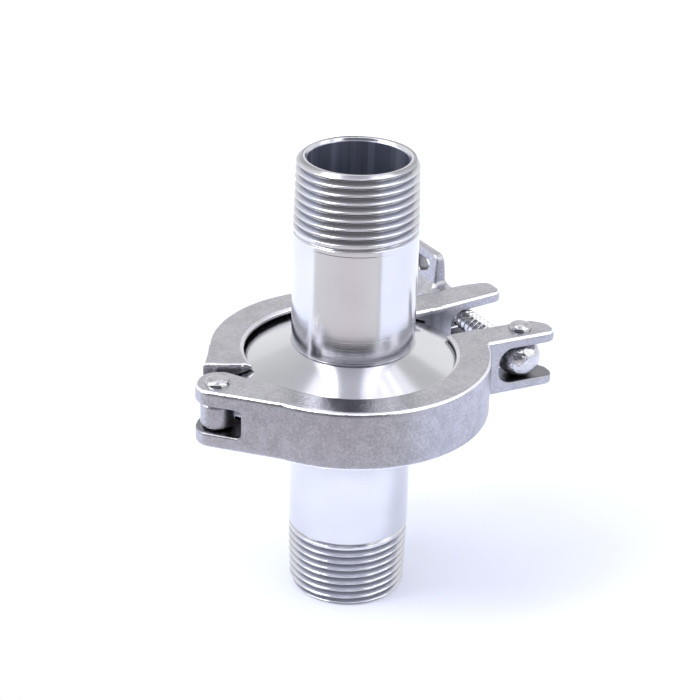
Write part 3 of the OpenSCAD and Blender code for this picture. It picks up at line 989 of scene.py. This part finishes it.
def studio_world(cfg):
    """Plain pale studio: light walls and ceiling, dim on the camera's side.

    The level is a sum of smooth steps in azimuth, counted from the camera's side with positive
    values to the right, and in elevation, both in degrees. Panels and slats hang in a ring behind
    the table: with p the camera's direction, a direction d is met by the surface that mirrors it
    to p, whose normal is d + p, and round_h and lean are that normal's bearing and height.
    """
    world = bpy.data.worlds.new("studio")
    bpy.context.scene.world = world
    world.use_nodes = True
    n = Nodes(world.node_tree)
    x, y, z = n.split(n.add("ShaderNodeTexCoord", out="Generated"))
    degrees = 180 / math.pi
    elev = n.math("ARCSINE", z) * degrees
    ahead_x, ahead_y = math.sin(cfg.azimuth), -math.cos(cfg.azimuth)
    ahead, aside = x * ahead_x + y * ahead_y, y * ahead_x - x * ahead_y
    az = n.math("ARCTAN2", aside, ahead) * degrees
    away = abs(az)

    def band(value, low, high, soft):
        """1 between low and high, falling to 0 over soft on both sides."""
        return value.ramp(low - soft, low) * value.ramp(high, high + soft, 1.0, 0.0)

    camera_side = band(az, -66, 32, 12) * band(elev, -4, 46, 6)
    table_gap = band(az, -77, 40, 5) * elev.ramp(-6, -14)
    middle = az.ramp(-80, -8) * az.ramp(-8, 55, 1.0, 0.0)
    left_low = band(az, -128, -83, 8) * elev.ramp(18, -2)
    backdrop = away.ramp(140, 168) * elev.ramp(60, 40)
    top_left = band(az, -178, -95, 20) * elev.ramp(48, 62)
    ceiling = elev.ramp(44, 64)
    overhead = (band(az, -70, 55, 12) * band(elev, 51, 60, 4)
                + band(away, 62, 140, 6) * band(elev, 58, 73, 4) * 0.7)
    strips = (band(az, -88, -64, 3) * 3.0 + band(az, 76, 90, 4) * 2.0
              + band(az, 44, 58, 4) * 1.2) * band(elev, 16, 74, 6)
    sides = band(away, 95, 138, 8) * band(elev, 6, 44, 8)
    level = (0.80 + backdrop * 0.17 + left_low * 0.28 + top_left * 0.42 + ceiling * 0.06
             - camera_side * 0.64 + table_gap * 0.08 - table_gap * middle * 0.04
             + overhead * 1.2 + strips + sides * 0.2)
    ahead_h, lift = ahead + math.cos(cfg.elevation), z + math.sin(cfg.elevation)
    round_h = n.math("ARCTAN2", aside, ahead_h) * degrees
    lean = lift / (ahead_h * ahead_h + aside * aside + lift * lift) ** 0.5
    ring = band(lean, 0.895, 0.955, 0.02)
    slat = n.math("SINE", (round_h - 12) * (math.pi / 4))
    panels = (0.84 - round_h.ramp(-79, -77) * 0.19 + round_h.ramp(-31, -25) * 0.90
              - round_h.ramp(34, 46) * 0.93 + round_h.ramp(66, 68) * 0.46
              + band(round_h, 9, 36, 2) * slat * 0.8)
    level = level + ring * (panels - level)
    tint = n.mix(ceiling, (0.985, 0.985, 1.0), (0.93, 0.92, 1.0))
    tint = n.mix(table_gap * middle, tint, (1.0, 0.93, 0.98))
    tint = n.mix(camera_side, tint, (0.86, 0.86, 1.0))
    light = n.add("ShaderNodeBackground", None, {"Color": tint, "Strength": level})
    plain = n.add("ShaderNodeBackground", None, {"Color": (1, 1, 1, 1), "Strength": 1.0})
    path = n.add("ShaderNodeLightPath").out.node
    camera_ray, glossy_ray, through_ray = (Socket(n, path.outputs[k]) for k in (
        "Is Camera Ray", "Is Glossy Ray", "Is Transmission Ray"))
    mirrored = n.math("MAXIMUM", glossy_ray, through_ray) * backdrop
    seen = n.math("MAXIMUM", camera_ray, mirrored)
    surface = n.add("ShaderNodeMixShader", None, {0: seen, 1: light, 2: plain})
    n.add("ShaderNodeOutputWorld", None, {"Surface": surface})


class UNION_OT_stage(bpy.types.Operator):
    """Set up the floor, the studio light and the camera"""
    bl_idname = "union.stage"
    bl_label = "Stage"

    def execute(self, context):
        cfg = settings("union_stage")
        scene = context.scene
        scene.view_settings.view_transform = "Standard"
        az, el = cfg.azimuth, cfg.elevation
        back = Vector((math.sin(az) * math.cos(el), -math.cos(az) * math.cos(el), math.sin(el)))
        aim = Vector((0, 0, CLAMP_Z * MM + cfg.aim_up))
        data = bpy.data.cameras.new("camera")
        data.lens, data.sensor_width = 98.85, 36
        data.shift_x, data.shift_y = -0.0037, 0.0020
        data.clip_start, data.clip_end = 0.02, 50
        camera = bpy.data.objects.new("camera", data)
        scene.collection.objects.link(camera)
        turn = (-back).to_track_quat("-Z", "Y").to_matrix().to_4x4()
        camera.matrix_world = (Matrix.Translation(aim + back * cfg.distance) @ turn
                               @ Matrix.Rotation(cfg.roll, 4, "Z"))
        scene.camera = camera

        mesh = bpy.data.meshes.new("floor")
        toward = Vector((back.x, back.y, 0)).normalized()
        side = Vector((-toward.y, toward.x, 0))
        # The table ends just in front of the object and runs on behind it
        near_edge, far_edge, drop = 0.105, 3.0, 0.00002
        rim = ([(math.radians(a), near_edge) for a in range(-78, 49, 6)]
               + [(math.radians(a), far_edge) for a in range(48, 283, 6)])
        ring = [toward * (math.cos(a) * r) + side * (math.sin(a) * r) for a, r in rim]
        mesh.from_pydata([(0, 0, -drop)] + [(c.x, c.y, -drop) for c in ring], [],
                         [(0, k + 1, (k + 1) % len(ring) + 1) for k in range(len(ring))])
        floor = bpy.data.objects.new("floor", mesh)
        scene.collection.objects.link(floor)

        def build(n):
            grain = n.noise(3.0, 2)
            return {"Base Color": n.mix(grain, rgba(cfg.floor), rgba(cfg.floor, 0.98)),
                    "Roughness": 0.9, "Specular IOR Level": 0.0,
                    "Emission Color": (1, 1, 1, 1), "Emission Strength": 0.21}
        mesh.materials.append(material("floor", build))

        studio_world(cfg)
        lamp = bpy.data.lights.new("key", "AREA")
        lamp.shape, lamp.size, lamp.energy = "DISK", 0.35, 3.0
        lamp.color = (1.0, 0.99, 0.97)
        key = bpy.data.objects.new("key", lamp)
        scene.collection.objects.link(key)
        spot = toward * 0.25 - side * 0.55 + Vector((0, 0, 0.75))
        turn = (aim - spot).to_track_quat("-Z", "Y").to_matrix().to_4x4()
        key.matrix_world = Matrix.Translation(spot) @ turn
        return {"FINISHED"}


class UNION_PT_panel(bpy.types.Panel):
    """Lists the pieces of the clamp union and their settings"""
    bl_idname = "UNION_PT_panel"
    bl_label = "Clamp union"
    bl_space_type = "VIEW_3D"
    bl_region_type = "UI"
    bl_category = "Clamp union"

    def draw(self, context):
        layout = self.layout
        for cls, group in zip(OPERATORS, ("union_stage", "union_ferrules", "union_clamp",
                                          "union_bolt")):
            layout.operator(cls.bl_idname)
            values = getattr(context.scene, group)
            for key in values.bl_rna.properties.keys():
                if key not in ("rna_type", "name"):
                    layout.prop(values, key)


OPERATORS = (UNION_OT_stage, UNION_OT_ferrules, UNION_OT_clamp, UNION_OT_bolt)


def register():
    for cls in (*SETTINGS.values(), *OPERATORS, UNION_PT_panel):
        bpy.utils.register_class(cls)
    for name, cls in SETTINGS.items():
        setattr(bpy.types.Scene, name, PointerProperty(type=cls))


def unregister():
    for name in SETTINGS:
        delattr(bpy.types.Scene, name)
    for cls in (UNION_PT_panel, *OPERATORS, *SETTINGS.values()):
        bpy.utils.unregister_class(cls)


def main():
    """Register and build everything in order."""
    register()
    bpy.ops.union.stage()
    bpy.ops.union.ferrules()
    bpy.ops.union.clamp()
    bpy.ops.union.bolt()


if __name__ == "__main__":
    main()
